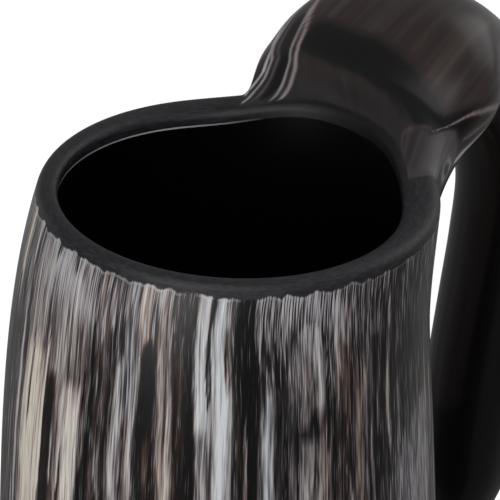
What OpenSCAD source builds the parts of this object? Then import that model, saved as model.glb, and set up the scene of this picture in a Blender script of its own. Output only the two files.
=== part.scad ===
// Drinking tankard made from one ox horn: the wide end of the horn is the foot, the mouth is cut
// across the horn below its tip, and the solid tip is bent over the rim and down as the handle.
// The cup wall, the neck and the handle are one piece of horn; a turned wooden plug closes the
// foot and a thin bed of food-safe resin seals the plug from inside. Millimetres, +Z up, the
// origin at the middle of the foot, and the handle towards +X.

/* [Cup] */
// Height of the mouth above the foot, at the middle of the mouth
body_h = 146; // [130:1:165]
// Outside diameter of the foot
foot_d = 98; // [92:0.5:104]
// Outside diameter of the mouth, away from the neck
mouth_d = 82.4; // [78:0.2:86]
// Thickness of the horn's wall
wall = 5.5; // [4.5:0.25:6.5]
// How far the mouth's middle leans from the foot's middle towards the handle
lean = 6; // [0:0.5:8]
// How far the inside of the mouth stands off towards the side away from the handle
bore_shift = 1.6; // [0:0.1:2]

/* [Mouth] */
// Fall of the mouth towards the handle, in degrees
mouth_fall = 3.4; // [0:0.2:5]
// Height of the lip's rounding
lip_round = 2.6; // [1.5:0.1:3.5]
// Rise of the mouth's edge in front of the neck
scoop_rise = 4; // [1:0.5:7]

/* [Neck] */
// Height of the neck's root on the outer wall, below the mouth's edge
root_drop = 17; // [14:0.5:20]
// Swelling of the outer wall towards the neck
flare = 2.6; // [1:0.1:4]
// Height over which the wall swells towards the neck
flare_drop = 30; // [24:1:40]
// Widening of the bore towards the neck
scoop_wide = 3; // [1:0.25:4]
// Depth over which the bore widens
scoop_deep = 14; // [10:1:20]
// Distance from the mouth's outer edge to the first section of the handle
neck_stand = 9; // [8:0.1:11]
// Height of the brow between the scoop and the arch
brow = 1.2; // [0:0.1:2]

/* [Handle] */
// Width of the handle where it leaves the neck
neck_w = 56; // [50:0.5:60]
// Reach of the handle's middle line past its first section
reach = 39; // [35:0.5:43]
// Height of the handle's middle line above the mouth, at the top of the arch
crown = 2.8; // [1:0.2:6]
// Depth of the handle's middle line below the mouth, at the tip
drop = 120; // [110:1:124]
// Sideways sweep of the handle's neck
sway = 6.8; // [0:0.2:9]
// Length of the tip's rounding
tip_round = 6; // [4:0.5:8]

/* [Foot] */
// Thickness of the wooden plug
plug_h = 11; // [8:0.5:15]
// Chamfer along the plug's edges
plug_chamfer = 0.8; // [0.4:0.1:1.2]
// Thickness of the resin over the plug
resin_h = 1.6; // [1:0.1:2.5]
// Height to which the resin climbs the wall
resin_fillet = 4; // [3:0.25:6]
// Joint left for the glue between the horn and the pieces in it
glue_gap = 0.12; // [0.1:0.01:0.2]

/* [Hidden] */

horn_colour = "#2b2725";
wood_colour = "#8a6242";
resin_colour = "#3a2f26";

foot_r = foot_d / 2;
mouth_r = mouth_d / 2;

// Powers of the body's taper and lean, of the lip's rounding and of the handle's section
taper_power = 2.25;
lean_power = 8;
flare_power = 2;
lip_power = 2.6;
section_power = 2.35;

// Half of the angle over which the mouth's edge rises, and the power of that rise
rise_half_deg = 34;
rise_power = 3;

// Columns round the body, and how many of them the neck's root takes on each side of its middle
around = 72;
root_cols = 8;
col_deg = 360 / around;

// Rows up the outer wall, up the root's height, over the lip and down the inner wall
wall_rows = 15;
root_rows = 5;
lip_rows = 8;
bore_rows = 12;
root_row = wall_rows;
lip_row = wall_rows + root_rows;
bore_row = lip_row + lip_rows;
last_row = bore_row + bore_rows;
// The neck leaves the lip this many rows short of the inner wall
left_rows = 2;
scoop_row = bore_row - left_rows;

// Rings of the neck and of the handle, and of the tip's rounding
neck_rings = 8;
handle_rings = 37;
tip_rings = 3;
// How far the neck keeps the wall's direction, and how far the handle's
leave_share = 0.5;
arrive_share = 0.9;
// Part of a row, a column or a station over which a direction is measured
tiny_share = 0.001;

// The handle's middle line, as shares of its reach and of its crown (above) or drop (below)
line_shares = [
    [0, -0.02], [0.17, 0.36], [0.34, 1], [0.5, 0.7], [0.65, -0.01], [0.8, -0.055], [0.92, -0.11],
    [0.99, -0.195], [1, -0.3], [0.94, -0.42], [0.86, -0.54], [0.78, -0.67], [0.72, -0.8],
    [0.67, -0.91], [0.62, -1]
];
// Half height and half width of the handle's section, as shares of half the neck's width
high_shares = [0.48, 0.51, 0.53, 0.52, 0.48, 0.43, 0.4, 0.38, 0.37, 0.37, 0.36, 0.36, 0.36, 0.34, 0.25];
wide_shares = [0.99, 1, 0.94, 0.79, 0.65, 0.57, 0.52, 0.47, 0.45, 0.44, 0.43, 0.42, 0.41, 0.38, 0.28];
// Height of the section's lower half, as shares of its upper half: the bend presses its inside flat
under_shares = [0.88, 0.78, 0.74, 0.73, 0.75, 0.82, 0.88, 0.94, 0.98, 1, 1, 1, 1, 1, 1];
// Sideways place of the middle line, as shares of the sway
sway_shares = [
    1, 0.95, 0.95, 1, 0.93, 0.63, 0.19, -0.29, -0.57, -0.63, -0.6, -0.57, -0.56, -0.56, -0.56
];
stations = len(line_shares) - 1;

function clamp(t) = min(1, max(0, t));
function smooth(t) = let (c = clamp(t)) c * c * (3 - 2 * c);
function mix(a, b, t) = a + (b - a) * t;
function unit(v) = v / norm(v);
function signed_power(x, p) = sign(x) * pow(abs(x), p);
function wrapped(a) = a - 360 * floor((a + 180) / 360);

// A smooth curve through a list of numbers or points
function through(list, t) =
    let (i = min(len(list) - 2, max(0, floor(t))), f = t - i, p1 = list[i], p2 = list[i + 1],
         p0 = i > 0 ? list[i - 1] : 2 * p1 - p2,
         p3 = i < len(list) - 2 ? list[i + 2] : 2 * p2 - p1)
    (2 * p1 + (p2 - p0) * f + (2 * p0 - 5 * p1 + 4 * p2 - p3) * f * f
        + (3 * p1 - p0 - 3 * p2 + p3) * f * f * f) / 2;

// A bump with a flat top, 1 in the neck's direction and 0 away from it
function neck_bump(a) = exp(-pow(abs(wrapped(a)) / rise_half_deg, rise_power));

// Height of the mouth's edge: it falls towards the handle and rises again before the neck
function edge_z(a) = body_h - tan(mouth_fall) * mouth_r * cos(a)
    + scoop_rise * neck_bump(a);

// Middle and radius of the plain horn at a height, before its wall swells to the neck
function middle_x(z) = lean * pow(clamp(z / body_h), lean_power);
function plain_r(z) = foot_r - (foot_r - mouth_r) * pow(max(0, z / body_h), taper_power);
function swell(a, z) = flare * pow((1 + cos(a)) / 2, flare_power)
    * smooth(1 - (edge_z(a) - z) / flare_drop);
function bore_r(z) = plain_r(z) - wall;
function bore_x(z) = (lean - bore_shift) * pow(clamp(z / body_h), lean_power);
function scoop(a, z) = scoop_wide * neck_bump(a) * smooth(1 - (edge_z(a) - z) / scoop_deep);

// A point of the wall: depth 0 lies on its outside and depth 1 on its inside
function wall_point(a, z, depth) =
    let (out_r = plain_r(z) + swell(a, z), in_r = bore_r(z) + scoop(a, z),
         out = [middle_x(z) + out_r * cos(a), out_r * sin(a), z],
         bore = [bore_x(z) + in_r * cos(a), in_r * sin(a), z])
    mix(out, bore, depth);

// The horn's skin: a row runs up the outside, over the lip and down the inside
function skin(row, a) =
    let (top = edge_z(a), lip_z = top - lip_round, root_z = top - root_drop)
    row <= root_row ? wall_point(a, root_z * row / wall_rows, 0)
    : row <= lip_row ? wall_point(a, mix(root_z, lip_z, (row - root_row) / root_rows), 0)
    : row <= bore_row ?
        let (turn = 180 * (row - lip_row) / lip_rows)
        wall_point(a, lip_z + lip_round * signed_power(sin(turn), 2 / lip_power),
            (1 - signed_power(cos(turn), 2 / lip_power)) / 2)
    : wall_point(a, lip_z * (last_row - row) / bore_rows, 1);

// The neck's root: a closed loop of [row, column] along the wall, up over the lip and back
root_loop = concat(
    [for (c = [-root_cols:root_cols]) [root_row, c]],
    [for (r = [root_row + 1:scoop_row - 1]) [r, root_cols]],
    [for (c = [root_cols:-1:-root_cols]) [scoop_row, c]],
    [for (r = [scoop_row - 1:-1:root_row + 1]) [r, -root_cols]]
);
root_count = len(root_loop);
low_mid = root_cols;
high_mid = 3 * root_cols + scoop_row - root_row;

function column_deg(c) = c * col_deg;
root_points = [for (k = root_loop) skin(k[0], column_deg(k[1]))];

// Length along the loop from its first point to each point
root_steps = [for (i = [0:root_count - 1]) norm(root_points[(i + 1) % root_count] - root_points[i])];
function sums(list, i = 0, total = 0) = i == len(list) ? [total]
    : concat([total], sums(list, i + 1, total + list[i]));
root_sums = sums(root_steps);
root_length = root_sums[root_count];

// Angle round the handle that each point of the loop runs to: -90 below and 90 on top
function phase(i) =
    let (s = root_sums[i], low = root_sums[low_mid], high = root_sums[high_mid],
         past = s >= high ? s - high : s - high + root_length)
    i >= low_mid && i <= high_mid ? -90 + 180 * (s - low) / (high - low)
    : 90 + 180 * past / (root_length - (high - low));

// Direction in which the skin leaves the loop towards its inside: up the wall below the neck, sideways
// beside it and back over the lip above it
function leaving(i) =
    let (r = root_loop[i][0], a = column_deg(root_loop[i][1]),
         up = unit(skin(r + tiny_share, a) - skin(r - tiny_share, a)),
         side = unit(skin(r, a + tiny_share) - skin(r, a - tiny_share)))
    unit(-sin(phase(i)) * up - cos(phase(i)) * side);

// The handle's middle line, in the plane of the cup and the handle
line_start = lean + mouth_r + neck_stand;
line = [for (s = line_shares) [line_start + s[0] * reach, body_h + s[1] * (s[1] > 0 ? crown : drop)]];
function line_at(t) = through(line, t);
function line_dir(t) = unit(line_at(min(stations, t + tiny_share)) - line_at(max(0, t - tiny_share)));

// A point of the handle's section, with the section drawn in by shrink and moved on by ahead
function handle_point(t, deg, shrink = 1, ahead = 0) =
    let (m = line_at(t), d = line_dir(t), half = shrink * neck_w / 2,
         flat = sin(deg) < 0 ? through(under_shares, t) : 1,
         high = half * through(high_shares, t) * flat * signed_power(sin(deg), 2 / section_power),
         wide = half * through(wide_shares, t) * signed_power(cos(deg), 2 / section_power))
    [
        m[0] + ahead * d[0] - high * d[1],
        wide + sway * through(sway_shares, t),
        m[1] + ahead * d[1] + high * d[0]
    ];

// A point between the root and the handle's first ring, on a curve that keeps both directions. On top
// it is lowered in its first half, as the scoop, and raised in its second half, as the brow
function neck_point(i, v) =
    let (p = root_points[i], q = handle_point(0, phase(i)), far = norm(q - p),
         leave = leaving(i) * far * leave_share,
         arrive = unit(handle_point(tiny_share, phase(i)) - q) * far * arrive_share,
         on_top = max(0, sin(phase(i))))
    p * (2 * v * v * v - 3 * v * v + 1) + leave * (v * v * v - 2 * v * v + v)
        + q * (3 * v * v - 2 * v * v * v) + arrive * (v * v * v - v * v)
        - [0, 0, brow * on_top * sin(360 * v) * sin(180 * v)];

skin_points = [for (r = [0:last_row], c = [0:around - 1]) skin(r, column_deg(c - root_cols))];
neck_points = [for (n = [1:neck_rings - 1], i = [0:root_count - 1]) neck_point(i, n / neck_rings)];
handle_points = [for (n = [0:handle_rings - 1], i = [0:root_count - 1])
    handle_point(stations * n / (handle_rings - 1), phase(i))];
tip_points = [for (n = [1:tip_rings], i = [0:root_count - 1])
    let (turn = 90 * n / (tip_rings + 1))
    handle_point(stations, phase(i), cos(turn), tip_round * sin(turn))];
tip_end = [handle_point(stations, 0, 0, tip_round)];
horn_points = concat(skin_points, neck_points, handle_points, tip_points, tip_end);

tube_rings = neck_rings - 1 + handle_rings + tip_rings;
tube_first = len(skin_points);
tip_index = len(horn_points) - 1;

function skin_index(r, c) = (r % (last_row + 1)) * around + (c + root_cols) % around;
function in_root(r, c) = r >= root_row && r < scoop_row && c < root_cols;
function ring_index(n, i) = n < 0 ? skin_index(root_loop[i % root_count][0], root_loop[i % root_count][1])
    : tube_first + n * root_count + i % root_count;
function quad(a, b, c, d) = [[a, c, b], [a, d, c]];

skin_faces = [for (r = [0:last_row], c = [-root_cols:around - root_cols - 1]) if (!in_root(r, c))
    each quad(skin_index(r, c), skin_index(r, c + 1), skin_index(r + 1, c + 1), skin_index(r + 1, c))];
tube_faces = [for (n = [-1:tube_rings - 2], i = [0:root_count - 1])
    each quad(ring_index(n, i), ring_index(n, i + 1), ring_index(n + 1, i + 1), ring_index(n + 1, i))];
tip_faces = [for (i = [0:root_count - 1])
    [ring_index(tube_rings - 1, i), tip_index, ring_index(tube_rings - 1, i + 1)]];

// The plug's seat in the foot follows the inside of the horn
seat_z = plug_h;
function seat_r(z) = bore_r(z) - glue_gap;
// The resin's fillet: its top, its edge on the wall and the size of its hollow
fillet_z = seat_z + resin_fillet;
fillet_r = seat_r(fillet_z);
hollow = resin_fillet - resin_h;
resin_steps = 6;

// The cup's wall, lip and bore with the neck, the arch and the tapering handle, in one piece
module horn() {
    color(horn_colour)
    polyhedron(points = horn_points, faces = concat(skin_faces, tube_faces, tip_faces), convexity = 8);
}

// Turned plug that closes the foot; it tapers with the horn, so it can't be pushed up through it
module base_plug() {
    color(wood_colour)
    rotate_extrude($fn = around)
    polygon([
        [0, 0],
        [seat_r(0) - plug_chamfer, 0],
        [seat_r(plug_chamfer), plug_chamfer],
        [seat_r(seat_z - plug_chamfer), seat_z - plug_chamfer],
        [seat_r(seat_z) - plug_chamfer, seat_z],
        [0, seat_z]
    ]);
}

// Resin poured over the plug: a flat bed with a hollow fillet up the wall
module resin_seal() {
    color(resin_colour)
    rotate_extrude($fn = around)
    polygon(concat(
        [[0, seat_z], [fillet_r, seat_z], [fillet_r, fillet_z]],
        [for (i = [1:resin_steps])
            let (deg = 90 * i / resin_steps)
            [fillet_r - hollow * sin(deg), fillet_z - hollow * (1 - cos(deg))]],
        [[0, seat_z + resin_h]]
    ));
}

horn();
base_plug();
resin_seal();
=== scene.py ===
"""Dresses the horn tankard: one horn surface, its plug, its resin seal and a plain studio."""

import bpy
import numpy as np
from bpy.props import FloatProperty, FloatVectorProperty, IntProperty, PointerProperty
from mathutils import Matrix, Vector


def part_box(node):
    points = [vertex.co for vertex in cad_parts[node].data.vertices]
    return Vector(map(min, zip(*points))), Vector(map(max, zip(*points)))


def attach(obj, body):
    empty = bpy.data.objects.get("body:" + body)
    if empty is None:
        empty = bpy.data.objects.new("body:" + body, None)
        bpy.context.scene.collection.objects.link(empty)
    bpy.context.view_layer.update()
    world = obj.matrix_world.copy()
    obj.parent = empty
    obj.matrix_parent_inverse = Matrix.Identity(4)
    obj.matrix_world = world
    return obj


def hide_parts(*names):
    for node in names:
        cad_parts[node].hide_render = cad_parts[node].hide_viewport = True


bl_info = {
    "name": "Horn Tankard",
    "version": (1, 0, 0),
    "blender": (4, 5, 0),
    "location": "View3D > Sidebar > Tankard",
    "description": "Builds a tankard cut from one horn, with its plug, its resin and a studio",
    "category": "Add Mesh",
}

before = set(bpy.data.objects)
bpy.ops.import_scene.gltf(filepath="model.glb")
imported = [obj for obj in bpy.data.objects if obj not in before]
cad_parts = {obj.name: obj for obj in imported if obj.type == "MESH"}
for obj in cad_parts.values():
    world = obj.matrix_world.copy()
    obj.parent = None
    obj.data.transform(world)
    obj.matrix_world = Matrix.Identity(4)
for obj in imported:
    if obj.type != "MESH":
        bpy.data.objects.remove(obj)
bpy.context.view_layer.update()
HORN_LOW, HORN_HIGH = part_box("horn")

MM = 0.001

# Powers of the wall's taper, of its middle line's lean, of its swelling towards the neck and of the
# bump that its edge has there, with the bump's half width in degrees
TAPER_POWER, LEAN_POWER, FLARE_POWER, BUMP_POWER, BUMP_HALF = 2.25, 8, 2, 3, 34
# Powers of the superellipses of the lip's section and of the handle's
LIP_POWER, SECTION_POWER = 2.6, 2.35
# Rows of the cup's grid: the wall below the neck's root and above it, the lip, the bore and an edge
# of the foot. The neck's window ends at row SCOOP_ROW of the lip, and its half width is a turn over
# WINDOW_PART
LOW_ROWS, ROOT_ROWS, LIP_ROWS, BORE_ROWS, EDGE_ROWS = 42, 18, 24, 19, 3
SCOOP_ROW, WINDOW_PART = 18, 9
# Rings of the neck and of the handle, and of its tip as angles of the rounding in degrees
NECK_RINGS, HANDLE_RINGS, TIP_ANGLES = 29, 90, (18, 36, 54, 72, 84)
# How strongly the neck keeps the wall's direction and takes the handle's, as shares of its length
WALL_PULL, HANDLE_PULL = 0.5, 0.9
# Radii in mm at which the patterns run round the cup and round the handle. In the bore the first is
# drawn in by BORE_DRAW
FIBRE_RADIUS, BORE_DRAW, GRIP_RADIUS = 45, 0.5, 21

# The handle's middle line, as shares of its reach and of its crown (above) or drop (below)
LINE_SHARES = np.array([
    [0, -0.02], [0.17, 0.36], [0.34, 1], [0.5, 0.7], [0.65, -0.01], [0.8, -0.055], [0.92, -0.11],
    [0.99, -0.195], [1, -0.3], [0.94, -0.42], [0.86, -0.54], [0.78, -0.67], [0.72, -0.8],
    [0.67, -0.91], [0.62, -1],
])
# Half height and half width of its section, as shares of half the neck's width
HIGH_SHARES = np.array([
    0.48, 0.51, 0.53, 0.52, 0.48, 0.43, 0.4, 0.38, 0.37, 0.37, 0.36, 0.36, 0.36, 0.34, 0.25])
WIDE_SHARES = np.array([
    0.99, 1, 0.94, 0.79, 0.65, 0.57, 0.52, 0.47, 0.45, 0.44, 0.43, 0.42, 0.41, 0.38, 0.28])
# Height of the section's lower half, as shares of its upper half
UNDER_SHARES = np.array([
    0.88, 0.78, 0.74, 0.73, 0.75, 0.82, 0.88, 0.94, 0.98, 1, 1, 1, 1, 1, 1])
# Sideways place of the middle line, as shares of the sway
SWAY_SHARES = np.array([
    1, 0.95, 0.95, 1, 0.93, 0.63, 0.19, -0.29, -0.57, -0.63, -0.6, -0.57, -0.56, -0.56, -0.56])
STATIONS = len(LINE_SHARES) - 1
# Part of a station over which a direction is taken
SHORT_STEP = 1e-3

# The fibres run straight up the wall and turn by WIND degrees in the last WIND_DROP mm to the mouth
WIND, WIND_DROP = 3.0, 28
# Streaks of the wall, each over the ones before it: angle and half width in degrees, top and end in
# mm below the mouth's edge (0 runs to the foot), lightness, warmth
STREAKS = [
    (252, 17.0, 0, 0, 0.28, 0.4),
    (140, 4.0, 2, 0, 0.40, 0.3),
    (145, 1.4, 14, 0, 0.12, 0.3),
    (149, 1.6, 8, 0, 0.42, 0.4),
    (170, 5.5, 3, 30, 0.48, 0.5),
    (161.4, 6.2, 3, 32, 0.56, 0.5),
    (162.2, 6.2, 22, 0, 0.94, 0.85),
    (156.6, 0.5, 20, 60, 0.50, 0.6),
    (177.3, 4.6, 4, 36, 0.52, 0.5),
    (179, 5.0, 26, 0, 0.86, 0.7),
    (170.8, 2.8, 27, 0, 0.10, 0.8),
    (184.6, 2.2, 44, 0, 0.08, 0.8),
    (185.2, 0.9, 12, 0, 0.14, 0.8),
    (187.7, 2.0, 3, 0, 0.40, 0.7),
    (189.6, 1.2, 38, 0, 0.68, 0.1),
    (191.2, 1.2, 3, 0, 0.16, 0.8),
    (191.5, 1.6, 2, 14, 0.56, 0.3),
    (194.2, 2.2, 12, 0, 0.68, 0.3),
    (194.4, 1.4, 8, 19, 0.10, 0.5),
    (197, 1.6, 1, 36, 0.56, 0.0),
    (197.3, 1.3, 28, 0, 0.38, 0.6),
    (199.5, 0.9, 16, 0, 0.74, 0.2),
    (202.4, 3.4, -6, 18, 0.67, 0.85),
    (204.0, 1.8, 4, 20, 0.22, 1.0),
    (202.6, 2.8, 12, 0, 0.03, 0.5),
    (203.6, 2.2, 32, 0, 0.25, 1.0),
    (207.3, 1.2, 2, 0, 0.47, 0.8),
    (206.6, 0.9, 34, 0, 0.54, 0.8),
    (212.4, 2.8, -2, 0, 0.13, 1.0),
    (214.9, 0.8, 4, 0, 0.04, 0.4),
    (211.9, 0.5, 9, 42, 0.34, 1.0),
    (217.9, 2.1, 0, 38, 0.84, 0.1),
    (217.5, 1.9, 30, 0, 0.58, 0.3),
    (222.3, 2.6, 0, 0, 0.94, 0.0),
    (224.6, 0.9, 7, 22, 0.42, 0.7),
    (219.6, 0.5, -4, 26, 0.04, 0.3),
    (229.3, 2.9, -4, 0, 0.02, 0.3),
    (228.4, 0.4, 26, 50, 0.52, 0.9),
    (234.6, 2.2, 3, 24, 0.28, 0.6),
    (234.6, 2.0, 19, 0, 0.66, 0.0),
    (239.4, 2.5, 6, 0, 0.27, 0.2),
    (246.6, 5.2, 8, 32, 0.66, 0.4),
    (247.4, 2.4, 26, 38, 0.2, 0.2),
    (245.6, 4.8, 32, 0, 0.52, 0.4),
    (248.4, 0.5, 8, 26, 0.70, 0.2),
    (251.6, 2.0, 28, 0, 0.42, 0.7),
    (254.3, 1.3, 3, 30, 0.56, 0.6),
    (257.6, 2.2, 4, 0, 0.34, 0.9),
    (262.6, 1.7, 18, 0, 0.56, 0.9),
    (266, 1.0, 6, 34, 0.40, 0.4),
    (272, 4.5, 1, 0, 0.20, 0.3),
    (284, 8.0, 1, 0, 0.26, 0.2),
    (300, 8.0, 0, 34, 0.27, 0.2),
    (280, 6.0, 44, 0, 0.50, 0.2),
    (291, 8.0, 36, 0, 0.54, 0.2),
    (276, 1.4, 30, 0, 0.30, 0.2),
    (314, 3.0, 3, 0, 0.34, 0.6),
    (322, 2.6, 14, 0, 0.62, 0.3),
    (333, 3.4, 8, 0, 0.14, 0.6),
    (342, 2.4, 22, 0, 0.66, 0.6),
    (351, 1.8, 30, 0, 0.46, 0.9),
    (1, 3.4, 26, 0, 0.56, 0.4),
    (12, 2.8, 22, 0, 0.10, 0.6),
    (21, 2.4, 28, 0, 0.72, 0.7),
    (32, 3.6, 20, 0, 0.44, 0.5),
    (43, 2.6, 6, 0, 0.12, 0.7),
    (52, 3.2, 12, 0, 0.64, 0.2),
    (61, 1.8, 3, 70, 0.50, 0.9),
    (69, 3.0, 16, 0, 0.82, 0.8),
    (79, 2.6, 2, 0, 0.12, 0.5),
    (88, 3.4, 8, 0, 0.58, 0.5),
    (98, 1.8, 4, 60, 0.68, 0.2),
    (106, 2.8, 14, 0, 0.42, 0.8),
    (116, 3.2, 2, 0, 0.70, 0.5),
    (127, 2.8, 6, 0, 0.16, 0.5),
]
# Patches of scraped white fibres: share, angle and half width in degrees, middle and half height in
# mm below the mouth's edge
CHALK = [
    (0.5, 172, 13, 5, 8),
    (0.55, 247, 16, 5, 9),
    (0.45, 284, 13, 60, 20),
]
# The crease behind the scoop, painted near black as the shade under the brow, and the end of the
# grey flat that the neck was cut to: angles round the section in degrees, from its far side over its
# top, and runs from the mouth in mm
SHADED_VALLEY = ((60, 75, 104, 125, 150, 170), (18, 17, 14, 13, 17, 21))
FLAT = ((126, 134, 148, 160, 176, 190), (7, 11, 17, 19, 20, 18))
# Growth lines of the neck, and among them a painted highlight and a painted sheen: half width in
# degrees, lightness, warmth, fade in mm, and the points of the line, each a run from the mouth in mm
# and an angle in degrees
GROWTH_AND_SHEEN = [
    (1.8, 0.78, 0.1, 3, ((1, 20), (6, 26), (11, 37), (17, 40), (26, 31), (36, 27))),
    (1.5, 0.66, 0.1, 3, ((1, 27), (6, 33), (9, 39), (13, 43), (20, 39), (34, 33))),
    (1.4, 0.44, 0.2, 3, ((2, 33), (8, 43), (13, 49), (24, 43))),
    (3.6, 0.04, 0.6, 4, ((2, 38), (6, 47), (12, 54), (26, 47))),
    (1.3, 0.60, 0.2, 3, ((0, 42), (2, 45), (6, 51), (11, 57), (15, 58), (23, 53), (32, 46))),
    (1.6, 0.60, 0.45, 3, (
        (0, 46), (2, 50), (5, 55), (9, 60), (14, 63), (19, 60), (30, 48), (40, 44))),
    (1.4, 0.36, 0.6, 2, (
        (0, 138), (1, 132), (3, 128), (5, 127), (7, 130), (10, 136), (14, 143), (17, 150),
        (19, 160))),
    (2.0, 0.58, 0.45, 3, ((16, 148), (18, 157), (19.5, 161), (26, 172), (36, 186), (46, 190))),
    # Painted highlight: this bright line stands for the light that the underside's edge catches
    (2.8, 0.95, 0.1, 4, ((17, 185), (24, 191), (32, 196), (46, 201))),
    # Painted sheen: this broad lighter band runs under the arch and along the leg's side facing the
    # cup
    (38, 0.33, 0.4, 9, ((42, 291), (124, 291))),
    (1.6, 0.50, 0.1, 4, ((20, 178), (30, 184), (44, 189))),
    (5.0, 0.68, 0.2, 1.5, ((9.2, 178), (15.6, 181))),
    (3.0, 0.12, 0.5, 1, ((10.6, 178), (14.2, 181))),
]
# Rings of a Wave texture stand this far apart at scale 1
WAVE_PITCH = 2 * np.pi / 20
# Light of the world on the object, and of the floor where the camera sees it (1 is white)
WORLD_LIGHT, FLOOR_GLOW = 0.28, 0.92
# Lamps: name, place in metres, side in metres and power in watts. They point at LAMP_TARGET
LAMPS = (
    ("back", (1.5, -0.2, 1.0), 1.4, 7),
    ("left", (-1.8, -0.3, 0.6), 1.2, 14),
    ("front", (-1.1, -0.9, 1.6), 2.2, 22),
)
LAMP_TARGET = (0.02, 0, 0.1)


def linear(hex_colour):
    """Turns an sRGB hex colour into linear red, green and blue."""
    part = np.array([int(hex_colour[i:i + 2], 16) / 255 for i in (1, 3, 5)])
    return tuple(np.where(part <= 0.04045, part / 12.92, ((part + 0.055) / 1.055) ** 2.4))


def length(name, about, default):
    """A length in metres with its name, description and default."""
    return FloatProperty(
        name=name, description=about, default=default, unit="LENGTH", subtype="DISTANCE")


def tone(name, about, default):
    """A colour with its name, description and default, given as an sRGB hex value."""
    return FloatVectorProperty(
        name=name, description=about, default=linear(default), subtype="COLOR", min=0, max=1)


class HornSizes(bpy.types.PropertyGroup):
    """Sizes of the horn"""
    body_height: length("Cup height", "Height of the mouth above the foot", 146 * MM)
    foot_width: length("Foot width", "Outside diameter of the foot", HORN_HIGH.y - HORN_LOW.y)
    mouth_width: length("Mouth width", "Outside diameter of the mouth", 82.4 * MM)
    wall: length("Wall", "Thickness of the horn's wall", 5.5 * MM)
    lean: length("Lean", "How far the mouth leans towards the handle", 6 * MM)
    bore_shift: length("Bore shift", "How far the bore's mouth stands off the handle", 1.6 * MM)
    lip_round: length("Lip", "Height of the lip's rounding", 2.6 * MM)
    scoop_rise: length("Scoop", "Rise of the mouth's edge in front of the neck", 4 * MM)
    root_drop: length("Neck root", "Height of the neck's root on the wall", 17 * MM)
    flare: length("Flare", "Swelling of the wall towards the neck", 2.6 * MM)
    flare_drop: length("Flare height", "Height over which the wall swells", 30 * MM)
    scoop_wide: length("Scoop width", "Widening of the bore towards the neck", 3 * MM)
    scoop_deep: length("Scoop depth", "Depth over which the bore widens", 14 * MM)
    neck_stand: length("Neck stand", "From the mouth to the handle's first section", 9 * MM)
    brow: length("Brow", "Height of the brow between the scoop and the arch", 1.2 * MM)
    neck_width: length("Neck width", "Width of the handle where it leaves the neck", 56 * MM)
    reach: length("Reach", "Reach of the handle past its first section", 39 * MM)
    crown: length("Crown", "Height of the handle's middle line above the mouth", 2.8 * MM)
    drop: length("Drop", "Depth of the handle's middle line below the mouth", 120 * MM)
    sway: length("Sway", "Sideways sweep of the handle's neck", 6.8 * MM)
    tip_round: length("Tip", "Length of the tip's rounding", 6 * MM)
    foot_edge: length("Foot edge", "Rounding of the foot's edges", 0.7 * MM)
    mouth_fall: FloatProperty(
        name="Mouth fall", description="Fall of the mouth, in degrees", default=3.4)
    columns: IntProperty(
        name="Columns", description="Columns round the cup", default=576)


class HornColours(bpy.types.PropertyGroup):
    """Colours of the horn that aren't its streaks"""
    lip: tone("Lip", "Satin dark grey of the cut and buffed lip", "#151518")
    lip_worn: tone("Lip, worn", "Fine scratches along the lip", "#3a3a40")
    bore: tone("Bore", "Near black of the cup's inside", "#030303")
    # The chalk colour also paints the highlight on the mouth's inner edge
    chalk: tone("Chalk", "Fibres that the scraper lifted", "#b7b4b8")


class StudioSizes(bpy.types.PropertyGroup):
    """The camera's place and the floor"""
    azimuth: FloatProperty(
        name="Azimuth", description="Camera's direction round the cup, in degrees", default=-48)
    elevation: FloatProperty(
        name="Elevation", description="Camera's height above the horizon, in degrees", default=30.8)
    distance: length("Distance", "Camera's distance from its target", 0.7)
    target_ahead: length("Target", "From the mouth's middle towards the handle", 1.5 * MM)
    view_right: length("Aim right", "How far right of its target the camera aims", 2.0 * MM)
    view_down: length("Aim down", "How far below its target the camera aims", 13.6 * MM)
    lens: FloatProperty(
        name="Lens", description="Focal length in mm on a 36 mm frame", default=242.4)
    floor_reach: length("Floor", "Radius of the floor", 8.0)
    floor_tone: tone("Floor", "Matt floor, which its own light makes pale", "#707070")


def signed_power(x, p):
    """The p-th power of x's size, with x's sign."""
    return np.sign(x) * np.abs(x) ** p


def smooth(t):
    """Smooth step: 3 t squared minus 2 t cubed, with t held between 0 and 1."""
    t = np.clip(t, 0, 1)
    return t * t * (3 - 2 * t)


def unit(v):
    """Vectors divided by their length."""
    return v / np.maximum(np.linalg.norm(v, axis=-1, keepdims=True), 1e-12)


def through(listed, t):
    """Catmull-Rom curve through a list: on each stretch a cubic whose slope at a listed value is
    half the difference of its neighbours."""
    t = np.asarray(t, float)
    flat = t.ravel()
    last = len(listed) - 1
    i = np.clip(np.floor(flat).astype(int), 0, last - 1)
    f = flat - i
    if listed.ndim > 1:
        f = f[:, None]
    p1, p2 = listed[i], listed[i + 1]
    first, final = i == 0, i == last - 1
    p0, p3 = listed[np.maximum(i - 1, 0)].copy(), listed[np.minimum(i + 2, last)].copy()
    p0[first] = 2 * p1[first] - p2[first]
    p3[final] = 2 * p2[final] - p1[final]
    made = (
        2 * p1 + (p2 - p0) * f + (2 * p0 - 5 * p1 + 4 * p2 - p3) * f**2
        + (3 * p1 - p0 - 3 * p2 + p3) * f**3
    ) / 2
    return made.reshape(t.shape + listed.shape[1:])


def neck_bump(a):
    """A bump with a flat top at the neck: e to the minus x, where x is the angle from the neck over
    the bump's half width, raised to its power."""
    off = (np.degrees(a) + 180) % 360 - 180
    return np.exp(-(np.abs(off) / BUMP_HALF) ** BUMP_POWER)


def edge_height(s, a):
    """Height of the mouth's edge at angle a: the cup's height, less a cosine fall towards the
    handle, plus the bump in front of the neck."""
    fall = np.tan(np.radians(s.mouth_fall)) * s.mouth_width / 2 * np.cos(a)
    return s.body_height - fall + s.scoop_rise * neck_bump(a)


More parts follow.
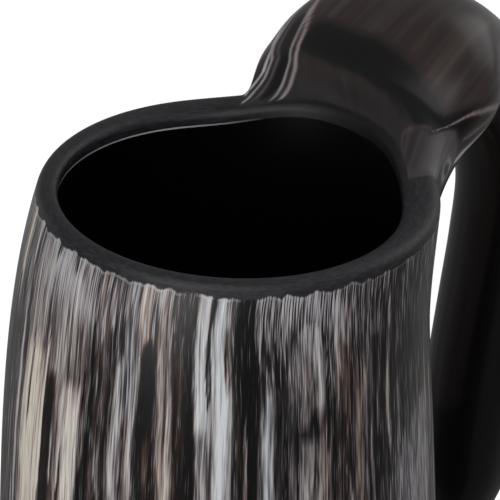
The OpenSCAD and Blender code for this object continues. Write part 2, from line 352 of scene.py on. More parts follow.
def plain_radius(s, z):
    """Outside radius at a height: the foot's radius less a power of the height's share."""
    foot, mouth = s.foot_width / 2, s.mouth_width / 2
    return foot - (foot - mouth) * np.maximum(0, z / s.body_height) ** TAPER_POWER


def wall_point(s, a, z, depth):
    """Point of the wall at angle a and height z: depth 0 on its outside, 1 on its inside, and
    straight between. Near the mouth the outside swells and the inside widens towards the neck."""
    rise = np.clip(z / s.body_height, 0, 1) ** LEAN_POWER
    under = edge_height(s, a) - z
    swell = s.flare * ((1 + np.cos(a)) / 2) ** FLARE_POWER * smooth(1 - under / s.flare_drop)
    scoop = s.scoop_wide * neck_bump(a) * smooth(1 - under / s.scoop_deep)
    out_r = plain_radius(s, z) + swell
    in_r = plain_radius(s, z) - s.wall + scoop
    out_x = s.lean * rise + out_r * np.cos(a)
    in_x = (s.lean - s.bore_shift) * rise + in_r * np.cos(a)
    x = out_x + (in_x - out_x) * depth
    y = (out_r + (in_r - out_r) * depth) * np.sin(a)
    return np.stack([x, y, z], -1)


def wall_rows(s, a):
    """Heights and depths of every row at the angles a: up the outside, over the lip by half a
    superellipse, down the bore and round the foot's edges by quarter circles."""
    top = edge_height(s, a)
    lip, root = top - s.lip_round, top - s.root_drop
    edge, share = s.foot_edge, s.foot_edge / s.wall
    low = np.linspace(0, 1, LOW_ROWS, endpoint=False)[:, None]
    beside = np.linspace(0, 1, ROOT_ROWS, endpoint=False)[:, None]
    over = np.linspace(0, np.pi, LIP_ROWS + 1)[:, None]
    bore = np.linspace(1, 0, BORE_ROWS + 1)[1:, None]
    turn = np.linspace(0, np.pi / 2, EDGE_ROWS + 1)[1:, None]
    parts = (
        (edge + (root - edge) * low, 0),
        (root + (lip - root) * beside, 0),
        (lip + s.lip_round * signed_power(np.sin(over), 2 / LIP_POWER),
         (1 - signed_power(np.cos(over), 2 / LIP_POWER)) / 2),
        (edge + (lip - edge) * bore, 1),
        (edge * (1 - np.sin(turn)), 1 - share * (1 - np.cos(turn))),
        (edge * (1 - np.cos(turn[:-1])), share * (1 - np.sin(turn[:-1]))),
    )
    z = np.concatenate([height + 0 * top for height, _ in parts])
    depth = np.concatenate([deep + 0 * height + 0 * top for height, deep in parts])
    return z, depth


def handle_point(s, t, phase, shrink=1.0, ahead=0.0):
    """Point of the handle: a superellipse section in the plane square to the middle line, t along
    it, at the angle phase round it, with its lower half flattened at the bend, drawn in by shrink
    and moved on by ahead."""
    t, phase = np.broadcast_arrays(np.asarray(t, float), np.asarray(phase, float))
    start = s.lean + s.mouth_width / 2 + s.neck_stand
    line = np.stack([
        start + LINE_SHARES[:, 0] * s.reach,
        s.body_height + LINE_SHARES[:, 1] * np.where(LINE_SHARES[:, 1] > 0, s.crown, s.drop),
    ], -1)
    m = through(line, t)
    d = unit(
        through(line, np.minimum(STATIONS, t + SHORT_STEP))
        - through(line, np.maximum(0, t - SHORT_STEP)))
    flat = np.where(np.sin(phase) < 0, through(UNDER_SHARES, t), 1)
    high = (
        shrink * through(HIGH_SHARES, t) * flat * s.neck_width / 2
        * signed_power(np.sin(phase), 2 / SECTION_POWER))
    wide = (
        shrink * through(WIDE_SHARES, t) * s.neck_width / 2
        * signed_power(np.cos(phase), 2 / SECTION_POWER))
    x = m[..., 0] + ahead * d[..., 0] - high * d[..., 1]
    y = wide + s.sway * through(SWAY_SHARES, t)
    z = m[..., 1] + ahead * d[..., 1] + high * d[..., 0]
    return np.stack([x, y, z], -1)


def lay(light, warm, degrees, run, streak, fade=9):
    """Lays one streak over the tones: across its angle e to the minus cube of the distance over its
    half width, which grows as the root of the share by which it has opened from its pointed start,
    and closes in the same way towards its end. It opens and closes within fade mm."""
    angle, half, top, end, tone_light, tone_warm = streak
    opened = np.clip((run - top) / fade, 0, 1)
    if end > 0:
        opened = opened * np.clip((end - run) / fade, 0, 1)
    off = np.abs((degrees - angle + 180) % 360 - 180)
    weight = np.exp(-(off / (half * np.sqrt(opened) + 0.01)) ** 3) * np.minimum(1, opened * 4)
    light += (tone_light - light) * weight
    warm += (tone_warm - warm) * weight


def wall_tones(a, below, seed=11):
    """Lightness, warmth and chalk of the wall: seeded streaks along the fibres, the listed ones over
    them and seeded hairs on top, all swaying by half a degree as two sine waves. Chalk, the share of
    scraped white fibres, falls off below the lip as a bell and has patches."""
    rng = np.random.default_rng(seed)
    degrees = np.degrees(a) % 360
    chalk = 0.12 + 0.25 * np.exp(-(below / 14) ** 2)
    for share, angle, wide, middle, high in CHALK:
        chalk += share * np.exp(-((degrees - angle) / wide) ** 4 - ((below - middle) / high) ** 2)
    degrees = degrees + 0.5 * np.sin(below / 11 + 5 * a) + 0.25 * np.sin(below / 5 + 11 * a)
    light = 0.3 + 0.1 * np.cos(a - np.radians(165))
    warm = np.full(below.shape, 0.5)
    for _ in range(420):
        top = rng.uniform(-10, 100)
        tone_light = rng.choice([rng.uniform(0.02, 0.16), rng.uniform(0.3, 0.8)])
        streak = (
            rng.uniform(0, 360), 0.4 + 2 * rng.random() ** 2, top, top + rng.uniform(25, 110),
            tone_light, rng.random())
        lay(light, warm, degrees, below, streak, 14)
    for streak in STREAKS:
        lay(light, warm, degrees, below, streak)
    for _ in range(130):
        top = rng.uniform(0, 110)
        streak = (
            rng.uniform(0, 360), rng.uniform(0.3, 0.6), top, top + rng.uniform(12, 50),
            rng.random(), rng.random())
        lay(light, warm, degrees, below, streak)
    return light, warm, chalk * (0.25 + smooth(light / 0.5))


def grip_tones(phase, run, seed=5):
    """Lightness and warmth of the neck and the handle: seeded faint growth lines along them, darker
    towards the solid tip and the flat, painted shade in the crease under the brow, and the listed
    lines over them, of which one paints a highlight and one a sheen."""
    rng = np.random.default_rng(seed)
    degrees = np.degrees(phase)[None, :] % 360 + 0 * run
    light, warm = np.full(run.shape, 0.5), np.full(run.shape, 0.6)
    for _ in range(90):
        top = rng.uniform(0, 150)
        streak = (
            rng.uniform(0, 360), 1 + 5 * rng.random() ** 2, top, top + rng.uniform(30, 90),
            rng.uniform(0.42, 0.6), rng.uniform(0.4, 0.7))
        lay(light, warm, degrees, run, streak, 16)
    # The arch is dark brown, and past it the handle is nearly black
    light *= 0.18 + 0.48 * (1 - smooth((run - 42) / 34)) - 0.06 * (1 - smooth((run - 6) / 10))
    warm_near, warm_flat, light_in_shade, light_flat = 0.7, 0.2, 0.03, 0.34
    # Painted shade: the crease under the brow is darkened to near black
    shaded_valley = np.exp(-((run - np.interp(degrees, *SHADED_VALLEY)) / 4.5) ** 4)
    shaded_valley *= smooth((degrees - 58) / 10) * smooth((178 - degrees) / 15)
    light += (light_in_shade - light) * shaded_valley
    warm *= 1 - warm_near * smooth(1 - run / 14)
    flat = smooth((np.interp(degrees, *FLAT) - run) / 2.5)
    flat *= smooth((degrees - 123) / 12) * smooth((190 - degrees) / 8)
    light += (light_flat + 0.1 * smooth((degrees - 138) / 35) - light) * flat
    warm += (warm_flat - warm) * flat
    for half, tone_light, tone_warm, fade, line in GROWTH_AND_SHEEN:
        runs, angles = np.transpose(line)
        streak = (np.interp(run, runs, angles), half, runs[0], runs[-1], tone_light, tone_warm)
        lay(light, warm, degrees, run, streak, fade)
    return light, warm


def window_edge(half, low, high):
    """Rows and columns of the points round the neck's window: along its lower edge, up, back along
    its upper edge and down."""
    wide, sides = 2 * half, np.arange(low + 1, high)
    rows = np.concatenate([np.full(wide + 1, low), sides, np.full(wide + 1, high), sides[::-1]])
    across = np.arange(wide + 1)
    columns = np.concatenate([across, 0 * sides + wide, across[::-1], 0 * sides])
    return rows, columns


def edge_phase(start, low, high):
    """Angle round the handle's section for each point of the window's edge, by the share of the
    length walked: from a quarter turn below at the point low, the middle of the lower edge, to a
    quarter turn above at the point high, the middle of the upper one, and on round to low."""
    steps = np.linalg.norm(np.roll(start, -1, 0) - start, axis=1)
    sums = np.concatenate([[0], np.cumsum(steps)])
    whole, sums = sums[-1], sums[:-1]
    risen = sums[high] - sums[low]
    past = np.where(sums >= sums[high], sums - sums[high], sums - sums[high] + whole)
    order = np.arange(len(start))
    return np.where(
        (order >= low) & (order <= high),
        -np.pi / 2 + np.pi * (sums - sums[low]) / risen,
        np.pi / 2 + np.pi * past / (whole - risen),
    )


def joined(on_cup, on_tube):
    """One value for each point: the cup's, the tube's and the tip's."""
    wide = on_cup.shape[2:]
    return np.concatenate([on_cup.reshape(-1, *wide), on_tube.reshape(-1, *wide), on_tube[-1, :1]])


def horn_surface(s):
    """The whole horn as one closed grid surface. The cup is a grid of rows by angles with a window
    left out at the neck. From the window's edge a cubic in the share of the way, which keeps the
    wall's direction and the handle's, runs to the handle's first section, lowered on top by a sine
    wave into a scoop and a brow, and the sections follow the middle line to the rounded tip."""
    n = s.columns
    half = n // WINDOW_PART
    a = (np.arange(n) - half) * (2 * np.pi / n)
    z, depth = wall_rows(s, a)
    cup = wall_point(s, a[None, :], z, depth)
    rows = len(cup)
    below = (edge_height(s, a)[None, :] - z) / MM
    along = np.where(depth < 0.5, below, -below)
    wound = a + np.radians(WIND) * smooth(1 - below / WIND_DROP)
    light, warm, chalk = wall_tones(wound, below)
    chalk = chalk * (1 - neck_bump(a))
    around = FIBRE_RADIUS * (1 - BORE_DRAW * depth)
    fibre = np.stack([around * np.cos(wound), around * np.sin(wound), along], -1)

    r0, r1 = LOW_ROWS, LOW_ROWS + ROOT_ROWS + SCOOP_ROW
    lr, lc = window_edge(half, r0, r1)
    count = len(lr)
    start = cup[lr, lc]
    up = unit(cup[lr + 1, lc] - cup[lr - 1, lc])
    side = unit(cup[lr, (lc + 1) % n] - cup[lr, (lc - 1) % n])
    phase = edge_phase(start, half, 3 * half + r1 - r0)

    leave = unit(-np.sin(phase)[:, None] * up - np.cos(phase)[:, None] * side)
    first = handle_point(s, 0, phase)
    far = np.linalg.norm(first - start, axis=-1, keepdims=True)
    arrive = unit(handle_point(s, SHORT_STEP, phase) - first)
    v = (np.arange(1, NECK_RINGS + 1) / (NECK_RINGS + 1))[:, None, None]
    neck = (
        start * (2 * v**3 - 3 * v**2 + 1) + leave * far * WALL_PULL * (v**3 - 2 * v**2 + v)
        + first * (3 * v**2 - 2 * v**3) + arrive * far * HANDLE_PULL * (v**3 - v**2)
    )
    on_top = np.maximum(0, np.sin(phase))
    neck[..., 2] -= s.brow * on_top * (np.sin(2 * np.pi * v) * np.sin(np.pi * v))[..., 0]
    t = STATIONS * np.arange(HANDLE_RINGS) / (HANDLE_RINGS - 1)
    handle = handle_point(s, t[:, None], phase[None])
    bend = np.radians(TIP_ANGLES)[:, None]
    tip = handle_point(s, STATIONS, phase[None], np.cos(bend), s.tip_round * np.sin(bend))
    end = handle_point(s, STATIONS, np.zeros(1), 0, s.tip_round)
    tube = np.concatenate([neck, handle, tip])

    # The wall's tones give way to the neck's within 2 mm on top and within 8 mm below
    path = np.concatenate([start[None], tube])
    run = np.cumsum(np.linalg.norm(np.diff(path, axis=0), axis=-1), axis=0) / MM
    share = smooth(run / np.where(np.sin(phase) > 0, 2, 8))
    grip_light, grip_warm = grip_tones(phase, run)
    from_wall = light[lr, lc] * (1 - on_top)
    grip_light = from_wall + (grip_light - from_wall) * share
    grip_warm = warm[lr, lc] + (grip_warm - warm[lr, lc]) * share
    none = np.zeros(run.shape)
    grip = np.stack([
        GRIP_RADIUS * np.cos(phase) + none, GRIP_RADIUS * np.sin(phase) + none, run], -1)

    points = joined(cup, tube)
    points[-1] = end[0]
    fields = {
        "fibre": joined(fibre, fibre[lr, lc] + 0 * tube),
        "grip": joined(0 * fibre, grip),
        "below": joined(along, along[lr, lc] + none),
        "light": joined(light, grip_light),
        "warm": joined(warm, grip_warm),
        "chalk": joined(chalk, chalk[lr, lc] * (1 - share)),
        "scoop": joined(neck_bump(a) + 0 * below, neck_bump(a)[lc] * (1 - share)),
        "neck": joined(0 * below, share),
    }

    r, c = np.meshgrid(np.arange(rows), np.arange(n), indexing="ij")
    kept = ~((r >= r0) & (r < r1) & (c < 2 * half))
    r, c = r[kept], c[kept]
    r2, c2 = (r + 1) % rows, (c + 1) % n
    cup_quads = np.stack([r * n + c, r * n + c2, r2 * n + c2, r2 * n + c], -1)
    rings = rows * n + np.arange(len(tube) * count).reshape(-1, count)
    rings = np.concatenate([(lr * n + lc)[None], rings])
    near, next_ring = rings[:-1], rings[1:]
    tube_quads = np.stack([
        near, np.roll(near, -1, 1), np.roll(next_ring, -1, 1), next_ring], -1).reshape(-1, 4)
    cap = np.stack([rings[-1], np.roll(rings[-1], -1), np.full(count, len(points) - 1)], -1)
    return points, np.concatenate([cup_quads, tube_quads]), cap, fields


def new_piece(name, points, quads, triangles=(), fields=None):
    """Puts a surface and its fields into a new mesh object."""
    triangles = np.asarray(triangles, int).reshape(-1, 3)
    mesh = bpy.data.meshes.new(name)
    corners = np.concatenate([quads.ravel(), triangles.ravel()])
    starts = np.concatenate([
        np.arange(len(quads)) * 4, quads.size + np.arange(len(triangles)) * 3])
    mesh.vertices.add(len(points))
    mesh.vertices.foreach_set("co", points.ravel())
    mesh.loops.add(len(corners))
    mesh.loops.foreach_set("vertex_index", corners)
    mesh.polygons.add(len(starts))
    mesh.polygons.foreach_set("loop_start", starts)
    mesh.update(calc_edges=True)
    mesh.polygons.foreach_set("use_smooth", np.ones(len(starts), bool))
    for key, values in (fields or {}).items():
        kind, field = ("FLOAT_VECTOR", "vector") if values.ndim > 1 else ("FLOAT", "value")
        mesh.attributes.new(key, kind, "POINT").data.foreach_set(field, values.ravel())
    mesh.validate()
    piece = bpy.data.objects.new(name, mesh)
    bpy.context.scene.collection.objects.link(piece)
    return piece


def add(tree, kind, inputs=None, stops=None, **settings):
    """Adds a node, sets its settings and inputs, and links the inputs that are sockets."""
    node = tree.nodes.new("ShaderNode" + kind)
    for key, value in settings.items():
        setattr(node, key, value)
    for key, value in (inputs or {}).items():
        if isinstance(value, bpy.types.NodeSocket):
            tree.links.new(value, node.inputs[key])
        else:
            node.inputs[key].default_value = value
    for i, (place, colour) in enumerate(stops or ()):
        part = node.color_ramp.elements[i] if i < 2 else node.color_ramp.elements.new(place)
        part.position = place
        part.color = (*linear(colour), 1)
    return node


def new_material(name):
    """An empty node material with its output and main shader."""
    material = bpy.data.materials.new(name)
    material.use_nodes = True
    tree = material.node_tree
    tree.nodes.clear()
    shader = add(tree, "BsdfPrincipled")
    out = add(tree, "OutputMaterial", {"Surface": shader.outputs[0]})
    return material, tree, shader, out


def horn_material(c):
    """Ox horn, scraped and buffed with wax: keratin fibres along the horn give streaks from black
    over brown and tan to cream, the scraped ones look chalky, and the solid tip is nearly black and
    takes the highest gloss."""
    material, tree, shader, _ = new_material("ox horn, scraped and waxed")
    place = {
        name: add(tree, "Attribute", attribute_name=name).outputs["Vector"]
        for name in ("fibre", "grip")}
    below, light, warm, chalk, neck, scoop = (
        add(tree, "Attribute", attribute_name=name).outputs["Fac"]
        for name in ("below", "light", "warm", "chalk", "neck", "scoop"))
    on_cup = add(tree, "Math", {0: 1.0, 1: neck}, operation="SUBTRACT").outputs[0]

    # Width and length in mm. Bundles, strands and growth layers have their real size. A real hair
    # or scratch is about 0.05 mm wide, and these are drawn as coarse as they need to be to show
    grain = {}
    for name, on, wide, long, detail in (
        ("bundle", "fibre", 3.0, 70, 1.0),
        ("strand", "fibre", 1.0, 36, 2.0),
        ("hair", "fibre", 0.38, 9, 1.0),
        ("scratch", "fibre", 0.26, 8, 1.0),
        ("layer", "grip", 2.4, 60, 2.0),
    ):
        drawn = add(tree, "Mapping", {"Vector": place[on], "Scale": (1, 1, wide / long)}).outputs[0]
        grain[name] = add(tree, "TexNoise", {
            "Vector": drawn, "Scale": 1 / wide, "Detail": detail}).outputs["Fac"]

    # Lightness: the streak's, with the fibres' own variation, which is small in the black ones
    spread = -1.2
    for name, much in (("bundle", 0.5), ("strand", 1.0), ("hair", 0.9)):
        spread = add(
            tree, "Math", {0: grain[name], 1: much, 2: spread}, operation="MULTIPLY_ADD").outputs[0]
    much = add(tree, "MapRange", {
        "Value": light, "From Max": 0.5, "To Min": 0.12, "To Max": 1.0}).outputs[0]
    lit = add(tree, "Math", {0: spread, 1: much, 2: light}, operation="MULTIPLY_ADD").outputs[0]
    solid = add(tree, "Math", {0: grain["layer"], 1: -0.5}, operation="ADD").outputs[0]
    solid = add(tree, "Math", {0: solid, 1: 0.15, 2: light}, operation="MULTIPLY_ADD").outputs[0]
    lit = add(tree, "Mix", {0: neck, 2: lit, 3: solid}).outputs[0]
    warm_tone = add(tree, "ValToRGB", {"Fac": lit}, [
        (0.0, "#050403"), (0.16, "#0f0a09"), (0.32, "#2c1f1a"), (0.46, "#59463f"),
        (0.6, "#867267"), (0.76, "#b4a598"), (1.0, "#e2d8c6")]).outputs[0]
    cool_tone = add(tree, "ValToRGB", {"Fac": lit}, [
        (0.0, "#040404"), (0.16, "#0b0b0c"), (0.32, "#232326"), (0.46, "#4b4b50"),
        (0.6, "#7b7c81"), (0.76, "#a6a9ae"), (1.0, "#d3d6da")]).outputs[0]
    colours = [(warm, warm_tone)]

    # Chalk: fibres that the scraper lifted, white
    lifted = add(
        tree, "Math", {0: chalk, 1: 0.3, 2: grain["scratch"]}, operation="MULTIPLY_ADD").outputs[0]
    lifted = add(tree, "MapRange", {
        "Value": lifted, "From Min": 0.62, "From Max": 0.84, "To Max": 0.9}).outputs[0]
    any_chalk = add(tree, "MapRange", {
        "Value": chalk, "From Min": 0.02, "From Max": 0.2}).outputs[0]
    lifted = add(tree, "Math", {0: lifted, 1: any_chalk}, operation="MULTIPLY").outputs[0]
    colours.append((lifted, (*c.chalk, 1)))

    # The lip: cut across the fibres and buffed, so it shows their dark ends, with scratches 1.8 mm
    # long. The scraper's last stroke leaves a ragged border about 2.5 mm down, with a light line
    ragged = below
    for name, much in (("bundle", 2.4), ("strand", 0.5), ("scratch", 0.3)):
        ragged = add(
            tree, "Math", {0: grain[name], 1: much, 2: ragged}, operation="MULTIPLY_ADD").outputs[0]
    lip_share = add(tree, "MapRange", {
        "Value": ragged, "From Min": 3.9, "From Max": 4.35, "To Min": 1.0, "To Max": 0.0}).outputs[0]
    lip_share = add(tree, "Math", {0: lip_share, 1: on_cup}, operation="MULTIPLY").outputs[0]
    rim = add(tree, "Mapping", {"Vector": place["fibre"], "Scale": (1, 1, 3)}).outputs[0]
    rim = add(tree, "TexNoise", {"Vector": rim, "Scale": 1 / 1.8, "Detail": 3.0}).outputs["Fac"]
    worn = add(tree, "MapRange", {
        "Value": rim, "From Min": 0.4, "From Max": 0.75, "To Max": 0.5}).outputs[0]
    lip_tone = add(tree, "Mix", {
        0: worn, 6: (*c.lip, 1), 7: (*c.lip_worn, 1)}, data_type="RGBA").outputs[2]
    lip_tone = add(tree, "Mix", {
        0: scoop, 6: lip_tone, 7: (*c.bore, 1)}, data_type="RGBA").outputs[2]
    colours.append((lip_share, lip_tone))
    line = add(tree, "Math", {0: ragged, 1: 4.35, 2: 0.25}, operation="COMPARE").outputs[0]
    part = add(tree, "MapRange", {
        "Value": light, "From Min": 0.2, "From Max": 0.7, "To Max": 0.6}).outputs[0]
    line = add(tree, "Math", {0: line, 1: part}, operation="MULTIPLY").outputs[0]
    line = add(tree, "Math", {0: line, 1: on_cup}, operation="MULTIPLY").outputs[0]
    colours.append((line, (*c.chalk, 1)))

    # The bore, where depths are negative: black and dull, and it hardly mirrors. The lip's rounding
    # ends at a depth of 2.6 mm, and its buffing runs 0.6 mm further
    in_share = add(tree, "MapRange", {
        "Value": below, "From Min": -3.2, "From Max": -3.5}).outputs[0]
    in_share = add(tree, "Math", {0: in_share, 1: on_cup}, operation="MULTIPLY").outputs[0]
    tint = add(tree, "MapRange", {"Value": in_share, "To Min": 1.0, "To Max": 0.2}).outputs[0]
    tree.links.new(tint, shader.inputs["Specular Tint"])
    colours.append((in_share, (*c.bore, 1)))

    # A painted highlight on its edge along a third of the way round, about a quarter turn from the
    # handle, where the edge catches the light
    highlight_side = add(tree, "VectorMath", {
        0: place["fibre"], 1: (-0.26, 0.97, 0)}, operation="DOT_PRODUCT").outputs["Value"]
    highlight_side = add(tree, "MapRange", {
        "Value": highlight_side, "From Min": 6.8, "From Max": 17.0, "To Max": 0.75}).outputs[0]
    edge = add(tree, "Math", {0: below, 1: -3.3, 2: 0.2}, operation="COMPARE").outputs[0]
    edge = add(tree, "Math", {0: edge, 1: highlight_side}, operation="MULTIPLY").outputs[0]
    edge = add(tree, "Math", {0: edge, 1: on_cup}, operation="MULTIPLY").outputs[0]
    colours.append((edge, (*c.chalk, 1)))

    colour = cool_tone
    for share, over in colours:
        colour = add(tree, "Mix", {0: share, 6: colour, 7: over}, data_type="RGBA").outputs[2]
    tree.links.new(colour, shader.inputs["Base Color"])

    # Roughness: black fibres are smoother than the white ones, and the neck is smoothest
    rough = add(tree, "MapRange", {
        "Value": lit, "From Min": 0.2, "From Max": 0.8, "To Min": 0.34, "To Max": 0.6}).outputs[0]
    for share, much in ((lip_share, 0.48), (in_share, 0.42), (neck, 0.32)):
        rough = add(tree, "Mix", {0: share, 2: rough, 3: much}).outputs[0]
    tree.links.new(rough, shader.inputs["Roughness"])
    shader.inputs["IOR"].default_value = 1.5
    shader.inputs["Specular IOR Level"].default_value = 0.32
    relief = add(
        tree, "Math", {0: grain["strand"], 1: 0.6, 2: grain["hair"]},
        operation="MULTIPLY_ADD").outputs[0]
    relief = add(tree, "Math", {0: relief, 1: on_cup}, operation="MULTIPLY").outputs[0]
    bump = add(tree, "Bump", {
        "Height": relief, "Distance": 0.06 * MM, "Strength": 0.5}).outputs[0]
    tree.links.new(bump, shader.inputs["Normal"])
    return material


def wood_material():
    """Beech, turned on a lathe and oiled: growth rings off the disc's middle, short flecks and fine
    tool rings that catch the light."""
    material, tree, shader, _ = new_material("beech, turned and oiled")
    place = add(tree, "TexCoord").outputs["Object"]
    # Growth rings 5 mm apart, drawn out four times along the grain
    grain = add(tree, "Mapping", {
        "Vector": place, "Location": (0.06, 0.02, 0), "Scale": (1, 0.25, 1)}).outputs[0]
    rings = add(tree, "TexWave", {
        "Vector": grain, "Scale": WAVE_PITCH / (4.932 * MM), "Distortion": 3.0, "Detail": 3.0,
        "Detail Scale": 2.0, "Detail Roughness": 0.6,
    }, wave_type="RINGS", rings_direction="Z", wave_profile="SAW").outputs["Fac"]
    # Flecks 0.8 mm wide and 4 mm long
    fleck = add(tree, "Mapping", {"Vector": place, "Scale": (1, 0.2, 1)}).outputs[0]
    fleck = add(tree, "TexNoise", {
        "Vector": fleck, "Scale": 1 / (0.8 * MM), "Detail": 4.0}).outputs["Fac"]
    mixed = add(tree, "Math", {0: fleck, 1: 0.5, 2: rings}, operation="MULTIPLY_ADD").outputs[0]
    part = add(tree, "Math", {0: mixed, 1: 0.66}, operation="MULTIPLY").outputs[0]
    colour = add(tree, "ValToRGB", {"Fac": part}, [
        (0.0, "#8f6a48"), (0.5, "#7b5638"), (1.0, "#5d3d26")]).outputs[0]
    tree.links.new(colour, shader.inputs["Base Color"])
    shader.inputs["Roughness"].default_value = 0.5
    # Tool rings: a lathe's are 0.3 mm apart, and these are 1.6 mm apart, so that they show
    tool = add(tree, "TexWave", {
        "Vector": place, "Scale": WAVE_PITCH / (1.578 * MM)},
        wave_type="RINGS", rings_direction="Z").outputs["Fac"]
    relief = add(tree, "Math", {0: tool, 1: 0.5, 2: mixed}, operation="MULTIPLY_ADD").outputs[0]
    bump = add(tree, "Bump", {
        "Height": relief, "Distance": 0.05 * MM, "Strength": 0.4}).outputs[0]
    tree.links.new(bump, shader.inputs["Normal"])
    return material


def resin_material():
    """Epoxy, poured and left to level: dark amber and glassy, with faint clouds 9 mm across and a
    ripple 6 mm long where it set."""
    material, tree, shader, _ = new_material("epoxy, poured")
    place = add(tree, "TexCoord").outputs["Object"]
    cloud = add(tree, "TexNoise", {
        "Vector": place, "Scale": 1 / (9 * MM), "Detail": 3.0}).outputs["Fac"]
    colour = add(tree, "ValToRGB", {"Fac": cloud}, [(0.3, "#241a13"), (0.7, "#3d2c20")]).outputs[0]
    tree.links.new(colour, shader.inputs["Base Color"])
    shader.inputs["Roughness"].default_value = 0.08
    shader.inputs["IOR"].default_value = 1.55
    ripple = add(tree, "TexNoise", {
        "Vector": place, "Scale": 1 / (6 * MM), "Detail": 1.0}).outputs["Fac"]
    bump = add(tree, "Bump", {
        "Height": ripple, "Distance": 0.15 * MM, "Strength": 0.3}).outputs[0]
    tree.links.new(bump, shader.inputs["Normal"])
    return material


def dress(node, material):
    """Gives a CAD node's object one material."""
    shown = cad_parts[node]
    shown.data.materials.clear()
    shown.data.materials.append(material)


class TANKARD_OT_horn(bpy.types.Operator):
    """Builds the cup's wall, the neck and the handle as one horn surface"""
    bl_idname = "tankard.horn"
    bl_label = "Horn"

    def execute(self, context):
        points, quads, cap, fields = horn_surface(context.scene.horn_sizes)
        piece = new_piece("horn_body", points, quads, cap, fields)
        piece.data.materials.append(horn_material(context.scene.horn_colours))
        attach(piece, "root")
        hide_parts("horn")
        return {"FINISHED"}


class TANKARD_OT_foot(bpy.types.Operator):
    """Finishes the turned plug and the resin that seals it"""
    bl_idname = "tankard.foot"
    bl_label = "Plug and resin"

    def execute(self, context):
        dress("base_plug", wood_material())
        dress("resin_seal", resin_material())
        return {"FINISHED"}


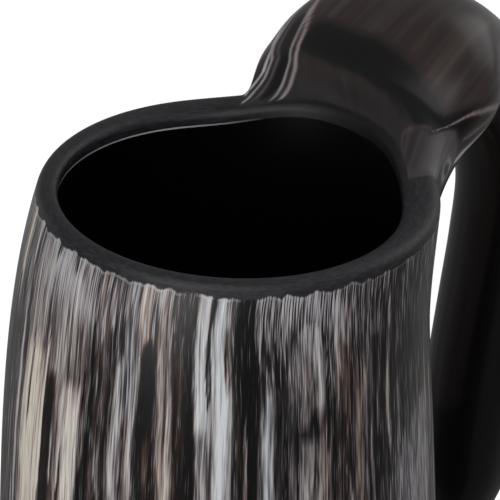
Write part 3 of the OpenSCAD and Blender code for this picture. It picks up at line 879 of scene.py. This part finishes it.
class TANKARD_OT_stage(bpy.types.Operator):
    """Builds the pale floor, the soft lamps, the world and the camera"""
    bl_idname = "tankard.stage"
    bl_label = "Studio"

    def execute(self, context):
        sizes, studio = context.scene.horn_sizes, context.scene.studio_sizes
        self.floor(studio)
        self.world()
        self.lamps()
        self.camera(sizes, studio)
        context.scene.view_settings.view_transform = "Standard"
        return {"FINISHED"}

    def floor(self, studio):
        """A disc: rings whose radius grows with the square of their share, by angles, at the height
        of the foot."""
        sides, rings = 96, 12
        angle = np.linspace(0, 2 * np.pi, sides, endpoint=False)
        radius = studio.floor_reach * np.linspace(0.02, 1, rings) ** 2
        points = np.stack([
            radius[:, None] * np.cos(angle), radius[:, None] * np.sin(angle),
            np.zeros((rings, sides))], -1).reshape(-1, 3)
        points = np.concatenate([points, [[0, 0, 0]]])
        r, c = np.meshgrid(np.arange(rings - 1), np.arange(sides), indexing="ij")
        near, c2 = r * sides, (c + 1) % sides
        far = near + sides
        quads = np.stack([near + c, far + c, far + c2, near + c2], -1).reshape(-1, 4)
        c = np.arange(sides)
        middle = np.stack([c, (c + 1) % sides, np.full(sides, len(points) - 1)], -1)
        floor = new_piece("floor", points, quads, middle)
        floor.data.materials.append(self.floor_material(studio))

    def floor_material(self, studio):
        """Paper, matt, white where the camera sees it. Gloss sees it bright behind the cup, where a
        backdrop is lit, and dark in front of it."""
        material, tree, shader, out = new_material("paper sweep, matt")
        shader.inputs["Base Color"].default_value = (*studio.floor_tone, 1)
        shader.inputs["Roughness"].default_value = 0.9
        shader.inputs["Specular IOR Level"].default_value = 0.1
        path = add(tree, "LightPath").outputs
        place = add(tree, "TexCoord").outputs["Object"]
        turn = np.radians(studio.azimuth)
        behind = add(
            tree, "VectorMath", {0: place, 1: (-np.sin(turn), np.cos(turn), 0)},
            operation="DOT_PRODUCT").outputs["Value"]
        glossy = add(tree, "MapRange", {
            "Value": behind, "From Min": -0.02, "From Max": 0.4, "To Min": 0.03, "To Max": 0.4,
        }).outputs[0]
        seen = add(tree, "Math", {
            0: path["Is Glossy Ray"], 1: glossy, 2: path["Is Camera Ray"]},
            operation="MULTIPLY_ADD").outputs[0]
        seen = add(tree, "Math", {
            0: seen, 1: path["Is Transmission Ray"]}, operation="MAXIMUM").outputs[0]
        seen = add(tree, "Math", {0: seen, 1: FLOOR_GLOW}, operation="MULTIPLY").outputs[0]
        glow = add(tree, "Emission", {"Color": (1, 1, 1, 1), "Strength": seen})
        both = add(tree, "AddShader", {0: shader.outputs[0], 1: glow.outputs[0]})
        tree.links.new(both.outputs[0], out.inputs["Surface"])
        return material

    def world(self):
        """White where the camera sees it, and an even soft light for the object."""
        world = bpy.data.worlds.new("studio")
        bpy.context.scene.world = world
        world.use_nodes = True
        tree = world.node_tree
        tree.nodes.clear()
        path = add(tree, "LightPath").outputs
        seen = add(
            tree, "Math", {0: path["Is Camera Ray"], 1: path["Is Transmission Ray"]},
            operation="MAXIMUM").outputs[0]
        strength = add(tree, "MapRange", {
            "Value": seen, "To Min": WORLD_LIGHT, "To Max": 1.0}).outputs[0]
        ground = add(tree, "Background", {"Color": (1, 1, 1, 1), "Strength": strength})
        add(tree, "OutputWorld", {"Surface": ground.outputs[0]})

    def lamps(self):
        """Soft boxes: one behind at the right, one at the left and one above the camera."""
        for name, place, size, power in LAMPS:
            light = bpy.data.lights.new(name, "AREA")
            light.shape, light.size, light.energy = "SQUARE", size, power
            lamp = bpy.data.objects.new(name, light)
            lamp.location = place
            lamp.rotation_mode = "QUATERNION"
            towards = Vector(LAMP_TARGET) - Vector(place)
            lamp.rotation_quaternion = towards.to_track_quat("-Z", "Y")
            bpy.context.scene.collection.objects.link(lamp)

    def camera(self, sizes, studio):
        """A long lens at the photograph's angle, aimed a little below the mouth's middle."""
        turn, up = np.radians(studio.azimuth), np.radians(studio.elevation)
        back = Vector((np.sin(turn) * np.cos(up), -np.cos(turn) * np.cos(up), np.sin(up)))
        right = Vector((np.cos(turn), np.sin(turn), 0))
        above = back.cross(right)
        target = Vector((sizes.lean + studio.target_ahead, 0, sizes.body_height))
        place = target + back * studio.distance
        aim = target + right * studio.view_right - above * studio.view_down
        lens = bpy.data.cameras.new("camera")
        lens.sensor_width, lens.lens = 36, studio.lens
        lens.clip_start, lens.clip_end = 0.05, 50
        camera = bpy.data.objects.new("camera", lens)
        camera.location = place
        camera.rotation_mode = "QUATERNION"
        camera.rotation_quaternion = (aim - place).to_track_quat("-Z", "Y")
        bpy.context.scene.collection.objects.link(camera)
        bpy.context.scene.camera = camera


class TANKARD_PT_panel(bpy.types.Panel):
    """Lists the steps in order, and the sizes and colours that they read"""
    bl_label = "Horn tankard"
    bl_idname = "TANKARD_PT_panel"
    bl_space_type = "VIEW_3D"
    bl_region_type = "UI"
    bl_category = "Tankard"

    def draw(self, context):
        scene = context.scene
        for operator in OPERATORS:
            self.layout.operator(operator.bl_idname)
        for group in (scene.horn_sizes, scene.horn_colours, scene.studio_sizes):
            box = self.layout.box()
            for key in group.__annotations__:
                box.prop(group, key)


OPERATORS = (TANKARD_OT_horn, TANKARD_OT_foot, TANKARD_OT_stage)
CLASSES = (HornSizes, HornColours, StudioSizes, *OPERATORS, TANKARD_PT_panel)


def register():
    for one in CLASSES:
        bpy.utils.register_class(one)
    bpy.types.Scene.horn_sizes = PointerProperty(type=HornSizes)
    bpy.types.Scene.horn_colours = PointerProperty(type=HornColours)
    bpy.types.Scene.studio_sizes = PointerProperty(type=StudioSizes)


def unregister():
    for key in ("horn_sizes", "horn_colours", "studio_sizes"):
        delattr(bpy.types.Scene, key)
    for one in reversed(CLASSES):
        bpy.utils.unregister_class(one)


def main():
    register()
    bpy.ops.tankard.horn()
    bpy.ops.tankard.foot()
    bpy.ops.tankard.stage()


if __name__ == "__main__":
    main()
